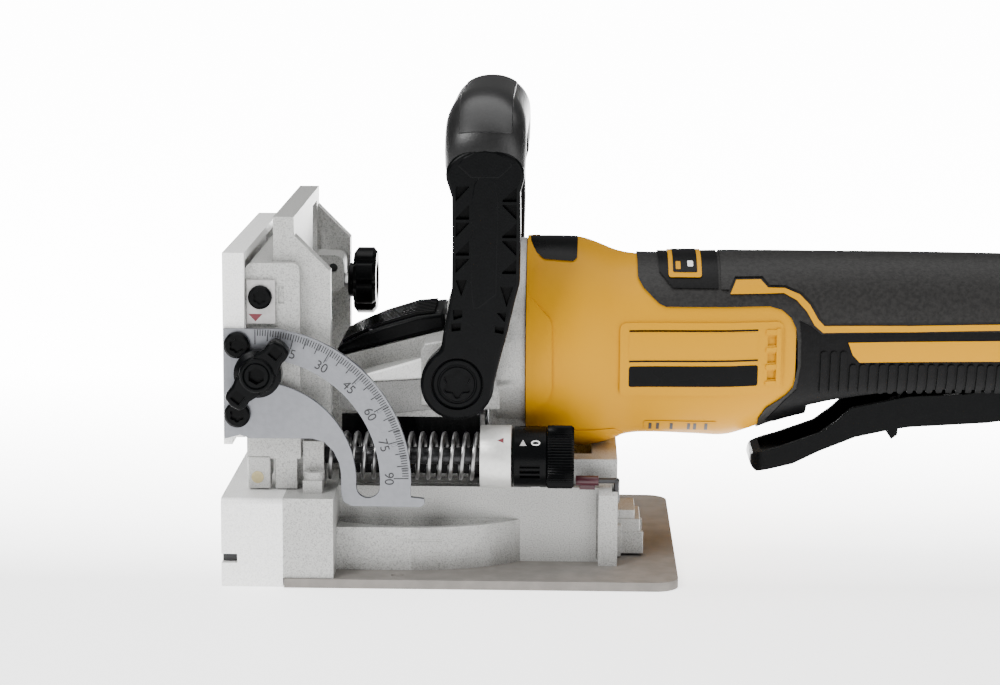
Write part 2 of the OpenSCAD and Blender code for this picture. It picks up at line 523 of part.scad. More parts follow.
module battery_button() color([0.75, 0.1, 0.1]) sb(372, 386, 12, 120.2, 127.2);

front_block();
base_housing();
sole_plate();
sole_screws();
column_bracket();
guide_rod();
return_spring();
dust_port();
anti_slip_pins();
hex_key();
key_clip();
height_scale();
fence_slide();
height_rack();
pointer_plate();
pointer_screw();
hinge_pins();
clamp_stud();
fence();
quadrant_plate();
quadrant_screws();
wing_knob();
height_pinion();
height_knob();
depth_knob();
loop_handle();
loop_grip();
pivot_screws();
gear_case();
gear_cover();
cover_screws();
slide_shoe();
spring_collar();
motor_housing();
stator();
motor_bearings();
grip_left();
grip_right();
housing_screws();
badge_plate();
rating_panel();
switch_block();
control_board();
terminal_rail();
paddle_pin();
spindle_bearings();
blade();
blade_flanges();
spindle();
bevel_wheel();
rotor_shaft();
rotor_core();
fan();
spindle_lock();
switch_paddle();
lock_lever();
battery_case();
battery_cells();
battery_button();
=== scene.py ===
"""Biscuit joiner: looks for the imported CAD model. Sizes are in millimetres, scaled by MM."""
import json
import math
import bpy
import bmesh
from mathutils import Matrix, Vector


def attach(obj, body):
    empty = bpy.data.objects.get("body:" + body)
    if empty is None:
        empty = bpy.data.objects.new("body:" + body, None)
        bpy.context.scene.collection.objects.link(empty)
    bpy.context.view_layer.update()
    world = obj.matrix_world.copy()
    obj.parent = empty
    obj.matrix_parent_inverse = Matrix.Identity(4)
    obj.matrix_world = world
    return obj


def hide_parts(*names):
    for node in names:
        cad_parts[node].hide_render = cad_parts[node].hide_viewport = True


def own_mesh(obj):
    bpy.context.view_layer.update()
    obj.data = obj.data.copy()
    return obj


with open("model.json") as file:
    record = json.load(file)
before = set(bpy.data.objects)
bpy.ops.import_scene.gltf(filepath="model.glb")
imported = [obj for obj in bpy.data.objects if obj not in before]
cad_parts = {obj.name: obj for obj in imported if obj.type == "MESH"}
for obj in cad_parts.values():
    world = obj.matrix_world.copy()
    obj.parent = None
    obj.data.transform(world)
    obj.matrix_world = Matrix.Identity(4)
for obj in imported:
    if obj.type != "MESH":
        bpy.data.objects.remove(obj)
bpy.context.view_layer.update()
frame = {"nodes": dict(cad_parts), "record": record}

MM = 0.001
SIDES = ((-1, "near"), (1, "far"))

# centres taken from the CAD
PIVOT_X, PIVOT_Z = 80.9, 69.8  # pivot of the loop handle
BAR_X = 90.2  # cross bar of the loop handle
ROD_Y, ROD_Z = -46.0, 42.3  # rod of the depth stop
STUD_X, STUD_Z = 13.1, 74.7  # stud of the tilt clamp
PINION_Y, PINION_Z = 32, 93  # shaft of the height drive
QUAD_X, QUAD_Z, QUAD_R = 11.3, 35.8, 53.8  # centre and edge radius of the quadrant
GUARD_X = 65  # centre of the blade guard


# ---------------------------------------------------------------- materials
MOTTLE = (0.36, 0.46, 0.64)  # noise values of the dark, middle and light tone
GRAIN_DEPTH = 0.0003
ROUGH_PATCH = 0.2  # scale of the roughness variation, as a share of the mottling scale


def material(name, color, rough, metal=0.0, noise=0.0, scale=300.0, bump=0.0, bump_scale=900.0,
             rough_var=0.0, speck=0.0, spec=0.5):
    """Procedural finish: colour mottling, surface grain and roughness variation."""
    m = bpy.data.materials.new(name)
    m.use_nodes = True
    nt = m.node_tree
    p = nt.nodes["Principled BSDF"]
    p.inputs["Base Color"].default_value = (*color, 1)
    p.inputs["Roughness"].default_value = rough
    p.inputs["Metallic"].default_value = metal
    p.inputs["Specular IOR Level"].default_value = spec
    tc = nt.nodes.new("ShaderNodeTexCoord")

    def noise_node(s, detail=3.0):
        n = nt.nodes.new("ShaderNodeTexNoise")
        n.inputs["Scale"].default_value = s
        n.inputs["Detail"].default_value = detail
        nt.links.new(tc.outputs["Object"], n.inputs["Vector"])
        return n

    def tone(k):
        return (*[min(1, c * k) for c in color], 1)

    if noise or speck:
        n = noise_node(scale)
        ramp = nt.nodes.new("ShaderNodeValToRGB")
        stops = ramp.color_ramp.elements
        stops[0].position = MOTTLE[0]
        stops[1].position = MOTTLE[2]
        stops[0].color = tone(1 - max(noise, speck))
        stops[1].color = tone(1 + noise)
        if speck:
            stops.new(MOTTLE[1]).color = tone(1 - noise * 0.5)
        nt.links.new(n.outputs["Fac"], ramp.inputs["Fac"])
        nt.links.new(ramp.outputs["Color"], p.inputs["Base Color"])
    if bump:
        n = noise_node(bump_scale, 2.0)
        b = nt.nodes.new("ShaderNodeBump")
        b.inputs["Strength"].default_value = bump
        b.inputs["Distance"].default_value = GRAIN_DEPTH
        nt.links.new(n.outputs["Fac"], b.inputs["Height"])
        nt.links.new(b.outputs["Normal"], p.inputs["Normal"])
    if rough_var:
        n = noise_node(scale * ROUGH_PATCH)
        r = nt.nodes.new("ShaderNodeMapRange")
        r.inputs["To Min"].default_value = rough - rough_var
        r.inputs["To Max"].default_value = rough + rough_var
        nt.links.new(n.outputs["Fac"], r.inputs["Value"])
        nt.links.new(r.outputs["Result"], p.inputs["Roughness"])
    return m


# name, colour, roughness, metal, mottling and its scale, grain and its scale
CAST = material("cast", (0.41, 0.41, 0.397), 0.46, 0.25, 0.12, 2300, 0.5, 1100, rough_var=0.08, speck=0.34)
# the next two are lighter and darker copies of the cast finish: painted light on faces turned to the lamps,
# painted shade on faces turned away
CAST_PAINTED_LIT = material("cast_painted_lit", (0.90, 0.90, 0.885), 0.44, 0.2, 0.06, 2300, 0.35, 1100, speck=0.16)
CAST_PAINTED_SHADE = material("cast_painted_shade", (0.26, 0.26, 0.255), 0.5, 0.25, 0.12, 2300, 0.4, 1100, speck=0.3)
GREY_PLATE = material("grey_plate", (0.40, 0.39, 0.385), 0.4, 0.4, 0.06, 900, 0.2, 1100)
ANOD = material("anodised", (0.18, 0.185, 0.20), 0.32, 0.6, 0.04, 500, 0.12, 1500)
PLATE = material("plate", (0.21, 0.197, 0.182), 0.62, 0.25, 0.08, 160, 0.1, 900, rough_var=0.08, spec=0.1)
STEEL = material("steel", (0.50, 0.50, 0.50), 0.3, 0.95, 0.06, 700)
DARK = material("dark_steel", (0.03, 0.03, 0.032), 0.35, 0.6, 0.1, 500)
BRASS = material("brass", (0.34, 0.29, 0.16), 0.36, 0.8, 0.15, 500)
BLACK = material("black", (0.0020, 0.0022, 0.0024), 0.28, 0.0, 0.1, 300, 0.12, 1800,
                 rough_var=0.05, spec=0.06)
RUBBER = material("rubber", (0.012, 0.0115, 0.011), 0.52, 0.0, 0.30, 700, 0.5, 1400, spec=0.2)
GRIPPY = material("grippy", (0.0030, 0.0030, 0.0032), 0.38, 0.0, 0.2, 600, 0.25, 1400, spec=0.08)
LOOP_SKIN = material("loop_skin", (0.006, 0.006, 0.0062), 0.36, 0.0, 0.2, 600, 0.12, 1400, spec=0.4)
YELLOW = material("yellow", (0.52, 0.24, 0.0), 0.40, 0.0, 0.0, 120, 0.04, 1600, spec=0.08)
WHITE = material("white", (0.80, 0.80, 0.79), 0.5)
INK = material("ink", (0.01, 0.01, 0.011), 0.5)
RED = material("red", (0.60, 0.02, 0.015), 0.4)
MAROON = material("maroon", (0.045, 0.006, 0.012), 0.4)
MARK_RED = material("mark_red", (0.14, 0.012, 0.022), 0.45)
COLLAR = material("collar", (0.62, 0.62, 0.60), 0.4, 0.4, 0.05, 700, 0.2, 1200)
COPPER = material("copper", (0.55, 0.24, 0.12), 0.35, 0.8, 0.1, 500)
BOARD = material("board", (0.02, 0.13, 0.05), 0.5, 0.0, 0.1, 300)
CELL = material("cell", (0.08, 0.20, 0.36), 0.35, 0.2, 0.05, 200)
SPRING = material("spring_steel", (0.24, 0.24, 0.24), 0.28, 0.95, 0.08, 600)


# ---------------------------------------------------------------- meshes
def finish_mesh(name, bm, mat, smooth=35):
    """Object made from a bmesh, normals outwards, smooth where faces meet at less than smooth degrees."""
    me = bpy.data.meshes.new(name)
    bmesh.ops.recalc_face_normals(bm, faces=bm.faces)
    bm.to_mesh(me)
    bm.free()
    ob = bpy.data.objects.new(name, me)
    bpy.context.collection.objects.link(ob)
    me.materials.append(mat)
    shade(ob, smooth)
    return ob


def shade(ob, angle=35):
    """Smooth shading, but sharp where faces meet at more than angle degrees."""
    for poly in ob.data.polygons:
        poly.use_smooth = True
    bm = bmesh.new()
    bm.from_mesh(ob.data)
    for e in bm.edges:
        if len(e.link_faces) == 2 and e.calc_face_angle(0) > math.radians(angle):
            e.smooth = False
    bm.to_mesh(ob.data)
    bm.free()


def bake(ob):
    """Apply all modifiers."""
    dg = bpy.context.evaluated_depsgraph_get()
    me = bpy.data.meshes.new_from_object(ob.evaluated_get(dg))
    ob.modifiers.clear()
    ob.data = me
    shade(ob)
    return ob


def cut(ob, tools, mode="DIFFERENCE"):
    """Boolean of ob with one tool or a list of them; the tools are used up."""
    tools = tools if isinstance(tools, list) else [tools]
    for t in tools:
        m = ob.modifiers.new("b", "BOOLEAN")
        m.operation = mode
        m.solver = "EXACT"
        m.object = t
    bake(ob)
    for t in tools:
        bpy.data.objects.remove(t)


def bevel(ob, w, seg=2, angle=35):
    """Soften edges sharper than angle degrees by w."""
    m = ob.modifiers.new("v", "BEVEL")
    m.width = w * MM
    m.segments = seg
    m.limit_method = "ANGLE"
    m.angle_limit = math.radians(angle)
    return bake(ob)


def prism(name, pts, y0, y1, mat=BLACK, axis="Y"):
    """Outline in X and Z drawn out along Y, or in X and Y along Z."""
    bm = bmesh.new()
    place = {"Y": lambda a, b, c: (a, c, b), "Z": lambda a, b, c: (a, b, c)}[axis]
    lo = [bm.verts.new(Vector(place(a, b, y0)) * MM) for a, b in pts]
    hi = [bm.verts.new(Vector(place(a, b, y1)) * MM) for a, b in pts]
    bm.faces.new(lo)
    bm.faces.new(hi)
    n = len(pts)
    for i in range(n):
        bm.faces.new((lo[i], lo[(i + 1) % n], hi[(i + 1) % n], hi[i]))
    return finish_mesh(name, bm, mat)


def block(name, x0, x1, y0, y1, z0, z1, mat=BLACK):
    """Box between two corners."""
    return prism(name, [(x0, z0), (x1, z0), (x1, z1), (x0, z1)], y0, y1, mat)


def loft(name, bm, rings, mat, smooth=35):
    """Closed solid through rings that all have the same number of vertices."""
    n = len(rings[0])
    for a, b in zip(rings, rings[1:]):
        for i in range(n):
            bm.faces.new((a[i], a[(i + 1) % n], b[(i + 1) % n], b[i]))
    bm.faces.new(rings[0])
    bm.faces.new(rings[-1])
    return finish_mesh(name, bm, mat, smooth)


def lathe(name, profile, at, axis, mat=BLACK, n=64, wave=None):
    """Profile of (radius, distance along axis) turned round axis.

    wave(angle, radius) may change the radius."""
    bm = bmesh.new()
    u = {"X": Vector((0, 1, 0)), "Y": Vector((0, 0, 1))}[axis]
    w = {"X": Vector((1, 0, 0)), "Y": Vector((0, 1, 0))}[axis]
    v = w.cross(u)
    rings = []
    for r, d in profile:
        ring = []
        for i in range(n):
            a = 2 * math.pi * i / n
            rr = wave(a, r) if wave else r
            ring.append(bm.verts.new((Vector(at) + w * d + (u * math.cos(a) + v * math.sin(a)) * rr) * MM))
        rings.append(ring)
    return loft(name, bm, rings, mat)


def oval(i, n, half_u, half_v, e):
    """Point i of n on an oval; e is its roundness, 2 for an ellipse and more for squarer."""
    a = 2 * math.pi * i / n
    c, s = math.cos(a), math.sin(a)
    return math.copysign(abs(c) ** (2 / e), c) * half_u, math.copysign(abs(s) ** (2 / e), s) * half_v


def arc(cx, cz, r, a0, a1, n=24):
    """Points on an arc from a0 to a1 degrees."""
    return [(cx + r * math.cos(math.radians(a0 + (a1 - a0) * i / n)),
             cz + r * math.sin(math.radians(a0 + (a1 - a0) * i / n))) for i in range(n + 1)]


def rounded(x0, x1, z0, z1, r, n=6):
    """Rectangle with rounded corners."""
    return (arc(x1 - r, z0 + r, r, -90, 0, n) + arc(x1 - r, z1 - r, r, 0, 90, n)
            + arc(x0 + r, z1 - r, r, 90, 180, n) + arc(x0 + r, z0 + r, r, 180, 270, n))


def polar(cx, cz, degrees, pairs):
    """Points given as (outwards, sideways) from a centre, for the direction degrees."""
    c, s = math.cos(math.radians(degrees)), math.sin(math.radians(degrees))
    return [(cx + out * c - side * s, cz + out * s + side * c) for out, side in pairs]


def span(s, inner, outer):
    """Y range between two distances from the middle plane, on side s."""
    return sorted((s * inner, s * outer))


def mirror_to(ob, y):
    """Turn a piece built along +Y over to face -Y, its foot at y."""
    ob.data.transform(Matrix.Translation((0, y * MM, 0)) @ Matrix.Scale(-1, 4, (0, 1, 0)))
    ob.data.flip_normals()


def round_rod(ob, degrees):
    """Move a piece built round the X axis to the depth stop rod, turned by degrees."""
    ob.data.transform(Matrix.Translation((0, ROD_Y * MM, ROD_Z * MM))
                      @ Matrix.Rotation(math.radians(degrees), 4, "X"))


def join(name, obs):
    """One object from several."""
    bpy.ops.object.select_all(action="DESELECT")
    for o in obs:
        o.select_set(True)
    bpy.context.view_layer.objects.active = obs[0]
    bpy.ops.object.join()
    obs[0].name = name
    return obs[0]


TEXT_HALF = 0.06  # half the thickness of a number


def text(name, word, at, size, turn, mat):
    """Dial number as a thin solid, facing -Y, turned in its own plane."""
    cu = bpy.data.curves.new(name, "FONT")
    cu.body = word
    cu.size = size * MM
    cu.extrude = TEXT_HALF * MM
    cu.align_x = "CENTER"
    cu.align_y = "CENTER"
    ob = bpy.data.objects.new(name, cu)
    bpy.context.collection.objects.link(ob)
    ob.matrix_world = (Matrix.Translation(Vector(at) * MM) @ Matrix.Rotation(math.radians(90), 4, "X")
                       @ Matrix.Rotation(math.radians(turn), 4, "Z"))
    bpy.context.view_layer.update()
    dg = bpy.context.evaluated_depsgraph_get()
    me = bpy.data.meshes.new_from_object(ob.evaluated_get(dg))
    me.transform(ob.matrix_world)
    bpy.data.objects.remove(ob)
    ob = bpy.data.objects.new(name, me)
    bpy.context.collection.objects.link(ob)
    me.materials.clear()
    me.materials.append(mat)
    return ob


def put(ob, body, *nodes):
    """Let a piece ride a body, and stand in for the CAD nodes named."""
    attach(ob, body)
    if nodes:
        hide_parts(*nodes)


# ---------------------------------------------------------------- CAD nodes: materials and soft edges
LOOK = {"cast_aluminium": CAST, "anodised": ANOD, "steel": STEEL, "dark_steel": DARK, "brass": BRASS,
        "black_plastic": BLACK, "yellow_plastic": YELLOW, "rubber": RUBBER, "label": WHITE, "cell_skin": CELL,
        "board": BOARD, "red_plastic": RED}
# front block and fence take the lighter copy of the cast finish: painted light on their lit faces
OWN = {"front_block": CAST_PAINTED_LIT, "sole_plate": PLATE, "return_spring": SPRING, "spring_collar": COLLAR,
       "quadrant_screws": BLACK, "pointer_screw": BLACK, "pivot_screws": BLACK, "rotor_core": COPPER,
       "fence": CAST_PAINTED_LIT, "pointer_plate": GREY_PLATE, "fence_slide": CAST, "loop_grip": RUBBER,
       "housing_screws": DARK, "battery_case": BLACK, "key_clip": MAROON}
EDGE = {"front_block": 0.8, "base_housing": 0.7, "sole_plate": 0.5, "column_bracket": 0.7, "fence_slide": 0.6,
        "fence": 0.5, "quadrant_plate": 0.35, "gear_case": 1.0, "slide_shoe": 0.6, "switch_paddle": 0.8,
        "battery_case": 1.0, "dust_port": 0.5, "spring_collar": 0.6, "pointer_plate": 0.3, "key_clip": 0.3,
        "lock_lever": 0.4, "height_scale": 0.1, "battery_button": 0.5, "terminal_rail": 0.4}
EDGE_OTHER = 0.2
WELD_WITHIN = 0.000002
slot_of = {s["node"]: s["material_slot"] for s in frame["record"]["subparts"]}
for node, ob in frame["nodes"].items():
    ob.data.materials.clear()
    ob.data.materials.append(OWN.get(node) or LOOK[slot_of[node]])
    weld = ob.modifiers.new("weld", "WELD")
    weld.merge_threshold = WELD_WITHIN
    mod = ob.modifiers.new("edge", "BEVEL")
    mod.width = EDGE.get(node, EDGE_OTHER) * MM
    mod.segments = 2
    mod.limit_method = "ANGLE"
    mod.angle_limit = math.radians(40)
    mod.harden_normals = True


# ---------------------------------------------------------------- motor housing and grip skin
# x, half width, bottom, top, roundness (2 is an ellipse)
SKIN = [(104.2, 37.4, 39.0, 114.0, 2.0), (107, 37.6, 38.8, 114.2, 2.0), (119, 37.6, 38.6, 114.2, 2.0),
        (124, 37.2, 38.4, 113.8, 2.0), (130, 35.8, 39.2, 111.8, 2.02), (136, 33.6, 41.2, 109.4, 2.06),
        (142, 32.0, 42.8, 108.2, 2.1), (150, 31.2, 43.2, 107.9, 2.15), (165, 30.6, 42.8, 108.0, 2.2),
        (176, 29.6, 42.6, 108.2, 2.25), (184, 27.6, 44.8, 108.2, 2.3), (194, 25.0, 48.4, 108.3, 2.3),
        (206, 22.8, 51.6, 108.3, 2.3), (222, 21.4, 54.2, 108.3, 2.3), (241, 20.8, 56.2, 108.3, 2.3),
        (270, 20.8, 56.8, 108.0, 2.3), (290, 21.6, 56.4, 107.8, 2.4), (299, 24.5, 52.0, 109.0, 2.6),
        (306, 30.0, 42.0, 112.0, 3.2), (314, 32.4, 34.0, 113.6, 3.8), (330, 33.0, 32.2, 114.0, 4.2),
        (344.8, 33.0, 32.0, 114.0, 4.4)]
PATCH_X = (104.3, 344.7)  # patches end here along the skin
CORE_X = (104, 344.8)  # and so does the core that hollows them
CORE_DEPTH = 1.2  # depth of that core below the skin
ACROSS = 60  # half width of anything that cuts right through


def skin_at(x):
    """Section at x: half width, bottom, top and roundness, by Catmull-Rom through the table."""
    last = len(SKIN) - 1
    k = max(i for i in range(last) if SKIN[i][0] <= x or i == 0)
    before, a, b, after = (SKIN[max(0, min(last, k + j))] for j in (-1, 0, 1, 2))
    width = b[0] - a[0]
    t = (x - a[0]) / width
    out = []
    for c in range(1, 5):
        m1 = (b[c] - before[c]) / (b[0] - before[0]) * width
        m2 = (after[c] - a[c]) / (after[0] - a[0]) * width
        out.append((2 * t ** 3 - 3 * t ** 2 + 1) * a[c] + (t ** 3 - 2 * t ** 2 + t) * m1
                   + (-2 * t ** 3 + 3 * t ** 2) * b[c] + (t ** 3 - t ** 2) * m2)
    return out


def skin(name, x0, x1, off, mat, step=2.0, n=96):
    """Closed skin from x0 to x1, grown outwards by off."""
    bm = bmesh.new()
    count = max(2, int((x1 - x0) / step))
    rings = []
    for i in range(count + 1):
        x = x0 + (x1 - x0) * i / count
        hw, zb, zt, e = skin_at(x)
        cz, hz = (zb + zt) / 2, (zt - zb) / 2 + off
        ring = []
        for j in range(n):
            y, z = oval(j, n, hw + off, hz, e)
            ring.append(bm.verts.new((x * MM, y * MM, (cz + z) * MM)))
        rings.append(ring)
    return loft(name, bm, rings, mat, 50)


def patch(name, outline, off, mat, near_only=False, soft=0.0, tools=None, hollow=True):
    """Piece of skin inside an X, Z outline, standing off the housing."""
    xs = [p[0] for p in outline]
    ob = skin(name, max(PATCH_X[0], min(xs) - 3), min(PATCH_X[1], max(xs) + 3), off, mat)
    cut(ob, prism("t", outline, -ACROSS, 0 if near_only else ACROSS), "INTERSECT")
    if hollow:
        cut(ob, skin("t", max(CORE_X[0], min(xs) - 5), min(CORE_X[1], max(xs) + 5), -CORE_DEPTH, mat))
    if tools:
        cut(ob, tools)
    if soft:
        bevel(ob, soft, 2, 50)
    return ob


def head_patch(name, outline, off, mat, *nodes, **more):
    """Patch that rides the motor head."""
    put(patch(name, outline, off, mat, **more), "head", *nodes)


def pocket():
    """Room for the paddle under the grip."""
    return prism("t", rounded(205, 296, 40, 68, 3), -15.3, 15.3)


put(skin("motor_skin", 104.2, 200, 0.0, YELLOW, 1.5, 128), "head", "motor_housing")
put(skin("front_band", 104.25, 108.5, 0.35, YELLOW), "head")

GRIP = [(143.6, 112), (143.7, 102.6), (145.5, 99.4), (151.1, 94.1), (153.6, 93.0), (190.5, 93.0), (195, 91.6),
        (198.2, 88.8), (200, 85), (200.6, 80.9), (200.8, 70.8), (199.5, 63.5), (197.3, 60.6), (194.3, 58.3),
        (190, 55.4), (187.6, 51), (187.8, 30), (344.7, 30), (344.7, 118), (143.6, 118)]
head_patch("grip_rubber", GRIP, 0.7, RUBBER, "grip_left", "grip_right", soft=0.25, tools=pocket(), hollow=False)

# black panel under the stripe, with upright ribs
GRIP_LOWER = [(201.2, 88.0), (205.4, 86.0), (209.2, 82.8), (293, 84.2), (296, 80.5), (296, 50), (206, 48),
              (196, 47.5), (190.2, 50), (196.4, 58), (200.8, 62.5), (202, 71), (202, 81)]
RIB_COUNT, RIB_FIRST, RIB_PITCH, RIB_HALF = 24, 210.2, 3.5, 1.15
RIB_FOOT, RIB_TOP, RIB_TOP_TALL = 60.3, 71.9, 76.8
TALL_RIBS_TO = 219
head_patch("grip_lower", GRIP_LOWER, 0.95, GRIPPY, tools=pocket())
for i in range(RIB_COUNT):
    x = RIB_FIRST + RIB_PITCH * i
    top = RIB_TOP_TALL if x < TALL_RIBS_TO else RIB_TOP
    rib = rounded(x - RIB_HALF, x + RIB_HALF, RIB_FOOT, top, 1.1, 4)
    head_patch(f"rib_{i}", rib, 1.75, GRIPPY, tools=pocket())

# yellow stripe and the wedge below it
STRIPE = [(176.4, 97.4), (178.6, 101.9), (187.3, 102.0), (189.9, 99.3), (195.9, 99.1), (201.3, 96.9),
          (204.9, 93.3), (207.7, 88.4), (210.0, 85.9), (240.6, 86.0), (290, 87.2), (298, 90.8), (299.2, 89.4),
          (291, 85.2), (240.7, 83.8), (209.6, 83.5), (206.5, 86.2), (203.7, 91.1), (200.0, 95.1),
          (195.5, 97.5), (189, 97.4)]
WEDGE = [(218.7, 79.9), (294, 81.2), (291, 73.6), (223.0, 72.6), (220.4, 75.4)]
head_patch("stripe", STRIPE, 1.35, YELLOW, soft=0.15)
head_patch("wedge", WEDGE, 1.25, YELLOW, soft=0.15)

# raised ridge of the overmould and its inner step
STEP = [(150.2, 118), (151.4, 104.4), (156.2, 99.3), (172.2, 99.2), (172.2, 118)]
RIDGE = [(173.2, 118), (173.2, 98.9), (176.0, 98.9), (178.2, 103.0), (188.0, 103.0), (190.4, 100.2),
         (196.2, 100), (202, 97.6), (205.9, 93.8), (208.8, 88.8), (210.6, 86.9), (291, 88.0), (299, 92),
         (299, 118)]
head_patch("overmould_step", STEP, 1.3, GRIPPY, soft=0.3)
head_patch("overmould_top", RIDGE, 1.35, RUBBER, soft=0.3)

# badge on both sides: yellow frame, black centre and two small bars, no lettering
head_patch("badge_frame", rounded(154.6, 166.4, 102.7, 113, 0.9), 1.7, YELLOW, "badge_plate", soft=0.1)
head_patch("badge_inner", rounded(156.2, 164.8, 104.3, 113, 0.5), 1.85, GRIPPY)
head_patch("badge_bar", rounded(157.2, 158.9, 105.2, 107.4, 0.3), 1.95, YELLOW)
head_patch("badge_bar2", rounded(161.4, 163.4, 106.0, 107.6, 0.3), 1.95, WHITE)

# plain dark patch at the front of the housing
FRONT_PATCH = [(105.4, 117), (105.4, 113.9), (107.6, 110.6), (110.4, 108.8), (120.6, 108.2), (122.0, 109.2),
               (122.4, 117)]
head_patch("front_patch", FRONT_PATCH, 0.45, BLACK, near_only=True)

# raised yellow panel: plain bands, thin lines, and three vents with ribs at its rear end
VENTS = ((66.9, 70.1), (73.1, 76.3), (79.3, 82.5))
vents = [block("t", 189.8, 192.8, s * 20, s * 50, low, high) for low, high in VENTS for s, _ in SIDES]
head_patch("name_panel", rounded(137.4, 195.4, 61.5, 87.6, 2.2), 0.9, YELLOW, soft=0.35, tools=vents)
head_patch("name_band", rounded(140.6, 186.4, 64.8, 72.4, 0.8), 1.0, BLACK, "rating_panel")
head_patch("name_dark", rounded(140.6, 186.4, 75.0, 84.2, 0.8), 1.0, YELLOW)
head_patch("name_line_top", rounded(140.6, 186.4, 84.6, 85.2, 0.2), 1.0, BLACK)
head_patch("name_line_low", rounded(140.6, 186.4, 73.9, 74.5, 0.2), 1.0, BLACK)
head_patch("name_bracket", rounded(193.0, 194.7, 64.6, 85.4, 0.6), 1.5, YELLOW, soft=0.2)
VENT_PITCH = 6.2
for i in range(4):
    z = VENT_PITCH * i
    head_patch(f"name_rib_{i}", rounded(189.2, 193.6, 64.5 + z, 66.3 + z, 0.5), 1.4, YELLOW, soft=0.15)

# small panel under it, with plain blocks in place of print
MARKS_AT = (148.8, 151.5, 156.4, 162.6, 164.8, 168.8)
MARK_HALF = 0.55
head_patch("small_panel", rounded(146.6, 172.4, 46.0, 50.6, 0.6), 0.3, YELLOW, soft=0.1)
for k, x in enumerate(MARKS_AT):
    head_patch(f"small_mark_{k}", rounded(x - MARK_HALF, x + MARK_HALF, 46.7, 49.8, 0.2), 0.42, INK)

# six-sided contour moulded into the yellow front
HEX = [(104.3, 98.2), (112.6, 89.6), (113.3, 87.1), (113.5, 64.6), (112.1, 60.3), (104.8, 53.7), (104.3, 53.7)]
HEX_LOW = [(108, 50), (113, 47.6), (136, 47.6), (139, 45), (136, 40), (112, 38)]
head_patch("hex_step", HEX, 1.05, YELLOW, soft=0.3)
head_patch("hex_step_low", HEX_LOW, 0.35, YELLOW, soft=0.2)


# ---------------------------------------------------------------- loop handle
BAR_E = 2.15  # roundness of the bar's section
PANEL_SUNK = 0.4  # depth of the bar panel's underside in the bar


def swept_bar(name, stations, mat, n=40):
    """Bar through stations of (y, z, tilt in degrees, half X, half thickness)."""
    bm = bmesh.new()
    rings = []
    for y, z, tilt, hx, ht in stations:
        t = math.radians(tilt)
        across = Vector((0, math.cos(t), -math.sin(t)))
        ring = []
        for j in range(n):
            u, v = oval(j, n, hx, ht, BAR_E)
            ring.append(bm.verts.new((Vector((BAR_X + u, y, z)) + across * v) * MM))
        rings.append(ring)
    return loft(name, bm, rings, mat, 60)


def bar_panel(name, stations, half_x, lift, mat, n=14):
    """Thin strip standing off the outside of the bar, half_x wide either way."""
    bm = bmesh.new()
    rows = []
    for y, z, tilt, hx, ht in stations:
        t = math.radians(tilt)
        out = Vector((0, -math.cos(t), math.sin(t)))
        row = []
        for level in (lift, -PANEL_SUNK):
            for j in range(n + 1):
                u = half_x * (2 * j / n - 1)
                v = (1 - (abs(u) / hx) ** BAR_E) ** (1 / BAR_E) * ht + level
                row.append(bm.verts.new((Vector((BAR_X + u, y, z)) + out * v) * MM))
        rows.append(row[:n + 1] + row[:n:-1])
    return bevel(loft(name, bm, rows, mat, 45), 0.25, 2, 45)


half = [(-52, 141, 0, 13.2, 4.9), (-52, 145, 2, 13.8, 5.0), (-51.4, 150, 10, 14, 5.6),
        (-49.6, 153.6, 28, 14, 6.8), (-46.4, 156.2, 50, 14, 8.6), (-42, 157.2, 70, 14, 10.8),
        (-36, 157.0, 82, 14, 12.8), (-28, 156.6, 88, 14, 13.7), (-14, 156.4, 90, 14, 13.9),
        (0, 156.4, 90, 14, 13.95)]
full = half + [(-y, z, 180 - t, hx, ht) for y, z, t, hx, ht in half[-2::-1]]
put(swept_bar("loop_bar", full, LOOP_SKIN), "front_handle", "loop_grip")
put(bar_panel("loop_panel", full[3:-3], 9.2, 0.35, LOOP_SKIN), "front_handle")

ARCH_Z, ARCH_HALF_X, ARCH_RISE = 142.4, 13.5, 9.0  # rounded top of each arm
ARM = ([(69.4, 66), (69.0, 74), (72.2, 79), (75.2, 82), (76.1, 88.3), (77.4, 94.6), (78.9, 103), (79.1, 119.3),
        (78.9, 134.5), (76.9, 140.6)]
       + [(BAR_X - ARCH_HALF_X * math.cos(math.radians(9 * i)),
           ARCH_Z + ARCH_RISE * math.sin(math.radians(9 * i))) for i in range(21)]
       + [(103.6, 140.8), (102.3, 136.4), (102.5, 123), (102.2, 104.9), (100.5, 98.3), (98.3, 88.5),
          (95.3, 77.2), (93.2, 68), (90, 62)])
FLARE = [(80.6, 145.6), (82.8, 148.4), (86.4, 150.2), (90.2, 150.7), (94, 150.2), (97.6, 148.4), (99.8, 145.6),
         (95.0, 141.2), (85.4, 141.2)]
SPINE = [(86.0, 96), (88.4, 96), (94.6, 101), (95.2, 134), (94.2, 139.5), (92, 142.4), (88.4, 142.4),
         (86.2, 139.5), (85.4, 134), (85.2, 103)]
HUB = [(11.6, 0), (12.7, 1.0), (12.7, 9.0), (11.7, 9.9)]
WINDOW_FIRST, WINDOW_PITCH = 108.4, 6.2
SCREW_BORE, SCREW_SINK = 5.1, 9.05  # radii of the pivot hole and its counterbore
